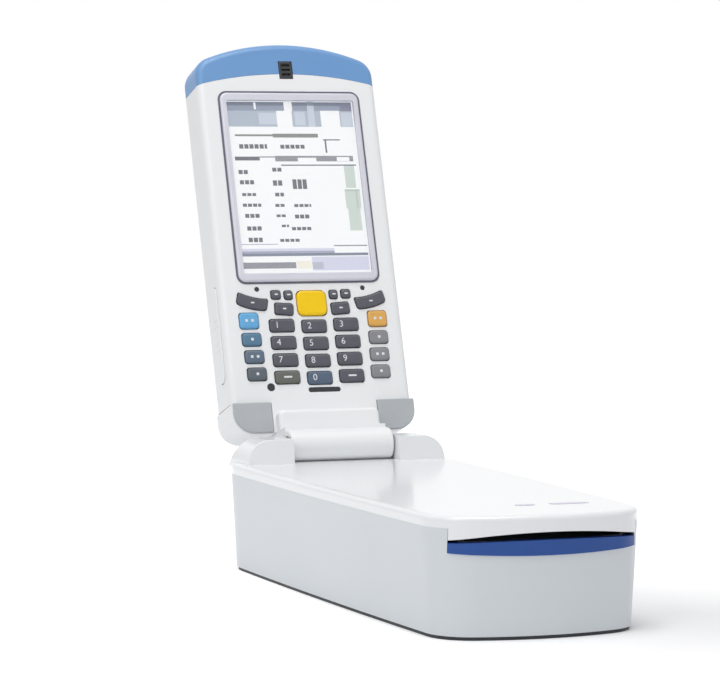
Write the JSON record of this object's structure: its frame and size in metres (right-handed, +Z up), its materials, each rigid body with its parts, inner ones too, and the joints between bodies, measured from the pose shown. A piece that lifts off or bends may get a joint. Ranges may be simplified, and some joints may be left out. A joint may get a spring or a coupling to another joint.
{
  "type": "blood gas analyzer",
  "caption": "Desktop blood gas analyzer: a low test-card reader with a front card slot and a touch-screen handheld held upright in a tilting dock.",
  "frame": {"origin": "on the desk, under the middle of the reader", "axes": "+Z up, -Y towards the card slot, +X to the right of someone facing the screen"},
  "size_m": [0.085, 0.2855, 0.2001],
  "materials": {
    "white_plastic": "semi-gloss white moulding",
    "dark_rubber": "matt dark rubber-edged plate",
    "trim_blue": "semi-gloss blue moulding",
    "dark_plastic": "matt black moulding",
    "steel": "plain steel",
    "board_green": "solder-masked laminate",
    "battery_grey": "matt grey moulding",
    "light_lens": "translucent lens",
    "grey_plastic": "satin pale grey moulding",
    "bronze": "sintered bronze",
    "grey_rubber": "soft grey rubber",
    "cap_blue": "semi-gloss mid blue moulding",
    "glass": "clear polished",
    "display": "lit display",
    "key_yellow": "satin yellow",
    "key_light_blue": "satin light blue",
    "key_orange": "satin orange",
    "key_slate": "satin slate blue",
    "key_grey": "satin dark grey"
  },
  "bodies": {
    "reader": {"base_plate": "dark_rubber", "reader_housing": "white_plastic", "top_cover": "white_plastic", "slot_trim": "trim_blue", "card_guide": "dark_plastic", "drive_motor": "steel", "reader_board": "board_green", "reader_battery": "battery_grey", "status_lights": "light_lens", "reader_screws": "steel", "hinge_pin": "steel"},
    "dock": {"hinge_bracket": "white_plastic", "hinge_bushes": "bronze", "dock_cup": "white_plastic", "corner_pads": "grey_rubber"},
    "host": {"front_housing": "white_plastic", "rear_housing": "white_plastic", "top_cap": "cap_blue", "receiver_insert": "dark_plastic", "display_frame": "white_plastic", "touch_glass": "glass", "display_panel": "display", "host_board": "board_green", "battery_pack": "battery_grey", "host_screws": "steel"},
    "lead_screw": {"lead_screw": "steel"},
    "drive_carriage": {"drive_carriage": "dark_plastic"},
    "contact_head": {"contact_head": "steel"},
    "side_trigger_left": {"side_trigger_left": "white_plastic"},
    "side_trigger_right": {"side_trigger_right": "white_plastic"},
    "power_button": {"power_button": "grey_plastic"},
    "scan_key": {"scan_key": "key_yellow"},
    "function_key_1": {"function_key_1": "key_grey"},
    "function_key_2": {"function_key_2": "key_grey"},
    "function_key_3": {"function_key_3": "key_grey"},
    "function_key_4": {"function_key_4": "key_grey"},
    "function_key_5": {"function_key_5": "key_grey"},
    "function_key_6": {"function_key_6": "key_grey"},
    "function_key_7": {"function_key_7": "key_grey"},
    "function_key_8": {"function_key_8": "key_grey"},
    "key_r1c1": {"key_r1c1": "key_light_blue"},
    "key_r1c2": {"key_r1c2": "key_grey"},
    "key_r1c3": {"key_r1c3": "key_grey"},
    "key_r1c4": {"key_r1c4": "key_grey"},
    "key_r1c5": {"key_r1c5": "key_orange"},
    "key_r2c1": {"key_r2c1": "key_slate"},
    "key_r2c2": {"key_r2c2": "key_grey"},
    "key_r2c3": {"key_r2c3": "key_grey"},
    "key_r2c4": {"key_r2c4": "key_grey"},
    "key_r2c5": {"key_r2c5": "key_grey"},
    "key_r3c1": {"key_r3c1": "key_slate"},
    "key_r3c2": {"key_r3c2": "key_grey"},
    "key_r3c3": {"key_r3c3": "key_grey"},
    "key_r3c4": {"key_r3c4": "key_grey"},
    "key_r3c5": {"key_r3c5": "key_grey"},
    "key_r4c1": {"key_r4c1": "key_slate"},
    "key_r4c2": {"key_r4c2": "key_grey"},
    "key_r4c3": {"key_r4c3": "key_grey"},
    "key_r4c4": {"key_r4c4": "key_grey"},
    "key_r4c5": {"key_r4c5": "key_grey"}
  },
  "joints": [
    {"name": "dock_tilt", "type": "hinge", "parent": "reader", "child": "dock", "pos_m": [0, 0.09, 0.046], "axis": [1, 0, 0], "range_deg": [-10, 108]},
    {"name": "host_lift", "type": "slide", "parent": "dock", "child": "host", "axis": [0, 0.3173, 0.9483], "range_m": [0, 0.07]},
    {"name": "screw_spin", "type": "hinge", "parent": "reader", "child": "lead_screw", "pos_m": [0, -0.05, 0.0125], "axis": [0, 1, 0], "range_deg": [0, 545]},
    {"name": "carriage_slide", "type": "slide", "parent": "reader", "child": "drive_carriage", "axis": [0, 1, 0], "range_m": [0, 0.012]},
    {"name": "head_press", "type": "slide", "parent": "reader", "child": "contact_head", "axis": [0, 0, -1], "range_m": [0, 0.00165]},
    {"name": "trigger_left_press", "type": "slide", "parent": "host", "child": "side_trigger_left", "axis": [1, 0, 0], "range_m": [0, 0.0005], "stiffness_N_per_m": 800},
    {"name": "trigger_right_press", "type": "slide", "parent": "host", "child": "side_trigger_right", "axis": [-1, 0, 0], "range_m": [0, 0.0005], "stiffness_N_per_m": 800},
    {"name": "power_press", "type": "slide", "parent": "reader", "child": "power_button", "axis": [0, -1, 0], "range_m": [0, 0.0006], "stiffness_N_per_m": 800},
    {"name": "scan_key_press", "type": "slide", "parent": "host", "child": "scan_key", "axis": [0, 0.9483, -0.3173], "range_m": [0, 0.0005], "stiffness_N_per_m": 500},
    {"name": "function_key_1_press", "type": "slide", "parent": "host", "child": "function_key_1", "axis": [0, 0.9483, -0.3173], "range_m": [0, 0.0005], "stiffness_N_per_m": 500},
    {"name": "function_key_2_press", "type": "slide", "parent": "host", "child": "function_key_2", "axis": [0, 0.9483, -0.3173], "range_m": [0, 0.0005], "stiffness_N_per_m": 500},
    {"name": "function_key_3_press", "type": "slide", "parent": "host", "child": "function_key_3", "axis": [0, 0.9483, -0.3173], "range_m": [0, 0.0005], "stiffness_N_per_m": 500},
    {"name": "function_key_4_press", "type": "slide", "parent": "host", "child": "function_key_4", "axis": [0, 0.9483, -0.3173], "range_m": [0, 0.0005], "stiffness_N_per_m": 500},
    {"name": "function_key_5_press", "type": "slide", "parent": "host", "child": "function_key_5", "axis": [0, 0.9483, -0.3173], "range_m": [0, 0.0005], "stiffness_N_per_m": 500},
    {"name": "function_key_6_press", "type": "slide", "parent": "host", "child": "function_key_6", "axis": [0, 0.9483, -0.3173], "range_m": [0, 0.0005], "stiffness_N_per_m": 500},
    {"name": "function_key_7_press", "type": "slide", "parent": "host", "child": "function_key_7", "axis": [0, 0.9483, -0.3173], "range_m": [0, 0.0005], "stiffness_N_per_m": 500},
    {"name": "function_key_8_press", "type": "slide", "parent": "host", "child": "function_key_8", "axis": [0, 0.9483, -0.3173], "range_m": [0, 0.0005], "stiffness_N_per_m": 500},
    {"name": "key_r1c1_press", "type": "slide", "parent": "host", "child": "key_r1c1", "axis": [0, 0.9483, -0.3173], "range_m": [0, 0.0005], "stiffness_N_per_m": 500},
    {"name": "key_r1c2_press", "type": "slide", "parent": "host", "child": "key_r1c2", "axis": [0, 0.9483, -0.3173], "range_m": [0, 0.0005], "stiffness_N_per_m": 500},
    {"name": "key_r1c3_press", "type": "slide", "parent": "host", "child": "key_r1c3", "axis": [0, 0.9483, -0.3173], "range_m": [0, 0.0005], "stiffness_N_per_m": 500},
    {"name": "key_r1c4_press", "type": "slide", "parent": "host", "child": "key_r1c4", "axis": [0, 0.9483, -0.3173], "range_m": [0, 0.0005], "stiffness_N_per_m": 500},
    {"name": "key_r1c5_press", "type": "slide", "parent": "host", "child": "key_r1c5", "axis": [0, 0.9483, -0.3173], "range_m": [0, 0.0005], "stiffness_N_per_m": 500},
    {"name": "key_r2c1_press", "type": "slide", "parent": "host", "child": "key_r2c1", "axis": [0, 0.9483, -0.3173], "range_m": [0, 0.0005], "stiffness_N_per_m": 500},
    {"name": "key_r2c2_press", "type": "slide", "parent": "host", "child": "key_r2c2", "axis": [0, 0.9483, -0.3173], "range_m": [0, 0.0005], "stiffness_N_per_m": 500},
    {"name": "key_r2c3_press", "type": "slide", "parent": "host", "child": "key_r2c3", "axis": [0, 0.9483, -0.3173], "range_m": [0, 0.0005], "stiffness_N_per_m": 500},
    {"name": "key_r2c4_press", "type": "slide", "parent": "host", "child": "key_r2c4", "axis": [0, 0.9483, -0.3173], "range_m": [0, 0.0005], "stiffness_N_per_m": 500},
    {"name": "key_r2c5_press", "type": "slide", "parent": "host", "child": "key_r2c5", "axis": [0, 0.9483, -0.3173], "range_m": [0, 0.0005], "stiffness_N_per_m": 500},
    {"name": "key_r3c1_press", "type": "slide", "parent": "host", "child": "key_r3c1", "axis": [0, 0.9483, -0.3173], "range_m": [0, 0.0005], "stiffness_N_per_m": 500},
    {"name": "key_r3c2_press", "type": "slide", "parent": "host", "child": "key_r3c2", "axis": [0, 0.9483, -0.3173], "range_m": [0, 0.0005], "stiffness_N_per_m": 500},
    {"name": "key_r3c3_press", "type": "slide", "parent": "host", "child": "key_r3c3", "axis": [0, 0.9483, -0.3173], "range_m": [0, 0.0005], "stiffness_N_per_m": 500},
    {"name": "key_r3c4_press", "type": "slide", "parent": "host", "child": "key_r3c4", "axis": [0, 0.9483, -0.3173], "range_m": [0, 0.0005], "stiffness_N_per_m": 500},
    {"name": "key_r3c5_press", "type": "slide", "parent": "host", "child": "key_r3c5", "axis": [0, 0.9483, -0.3173], "range_m": [0, 0.0005], "stiffness_N_per_m": 500},
    {"name": "key_r4c1_press", "type": "slide", "parent": "host", "child": "key_r4c1", "axis": [0, 0.9483, -0.3173], "range_m": [0, 0.0005], "stiffness_N_per_m": 500},
    {"name": "key_r4c2_press", "type": "slide", "parent": "host", "child": "key_r4c2", "axis": [0, 0.9483, -0.3173], "range_m": [0, 0.0005], "stiffness_N_per_m": 500},
    {"name": "key_r4c3_press", "type": "slide", "parent": "host", "child": "key_r4c3", "axis": [0, 0.9483, -0.3173], "range_m": [0, 0.0005], "stiffness_N_per_m": 500},
    {"name": "key_r4c4_press", "type": "slide", "parent": "host", "child": "key_r4c4", "axis": [0, 0.9483, -0.3173], "range_m": [0, 0.0005], "stiffness_N_per_m": 500},
    {"name": "key_r4c5_press", "type": "slide", "parent": "host", "child": "key_r4c5", "axis": [0, 0.9483, -0.3173], "range_m": [0, 0.0005], "stiffness_N_per_m": 500}
  ],
  "couplings": [
    {"joint": "screw_spin", "follows": "carriage_slide", "rad_per_m": 785.4},
    {"joint": "head_press", "follows": "carriage_slide", "ratio": 0.13333}
  ]
}
